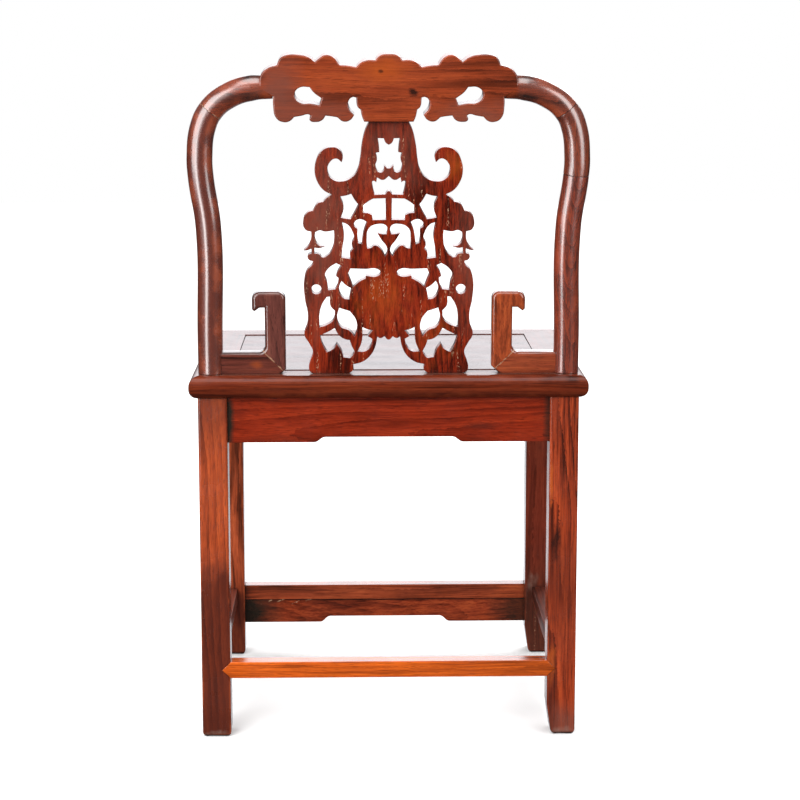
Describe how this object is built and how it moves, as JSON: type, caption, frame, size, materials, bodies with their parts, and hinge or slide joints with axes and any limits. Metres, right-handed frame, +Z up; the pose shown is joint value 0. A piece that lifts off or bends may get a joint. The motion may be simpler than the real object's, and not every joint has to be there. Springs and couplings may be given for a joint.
{
  "type": "carved side chair",
  "caption": "Wooden side chair with a round bent back frame, lobed crest rail, fretted vase splat, hook brackets, panelled seat, square legs and low stretchers; seats one person.",
  "frame": {"origin": "on the floor, under the middle of the whole chair's bounding box", "axes": "+Z up; the seat's front faces -Y and the back stands on the +Y side; +X is the sitter's left"},
  "size_m": [0.52, 0.446, 0.9072],
  "materials": {
    "legs": "polished reddish-brown rosewood",
    "seat": "polished reddish-brown rosewood",
    "back": "polished reddish-brown rosewood",
    "aprons": "polished reddish-brown rosewood",
    "stretchers": "polished reddish-brown rosewood",
    "brackets": "polished reddish-brown rosewood"
  },
  "bodies": {
    "root": {"front_leg_left": "legs", "front_leg_right": "legs", "rear_leg_left": "legs", "rear_leg_right": "legs", "seat_rail_front": "seat", "seat_rail_left": "seat", "seat_rail_rear": "seat", "seat_rail_right": "seat", "seat_panel": "seat", "seat_batten_1": "seat", "seat_batten_2": "seat", "top_rail": "back", "back_bend_right": "back", "back_splat": "back", "apron_front": "aprons", "apron_left": "aprons", "apron_rear": "aprons", "apron_right": "aprons", "stretcher_apron_front": "aprons", "stretcher_front": "stretchers", "stretcher_left": "stretchers", "stretcher_rear": "stretchers", "stretcher_right": "stretchers", "bracket_foot_left": "brackets", "bracket_foot_right": "brackets", "bracket_hook_left": "brackets", "bracket_hook_right": "brackets"}
  },
  "joints": []
}
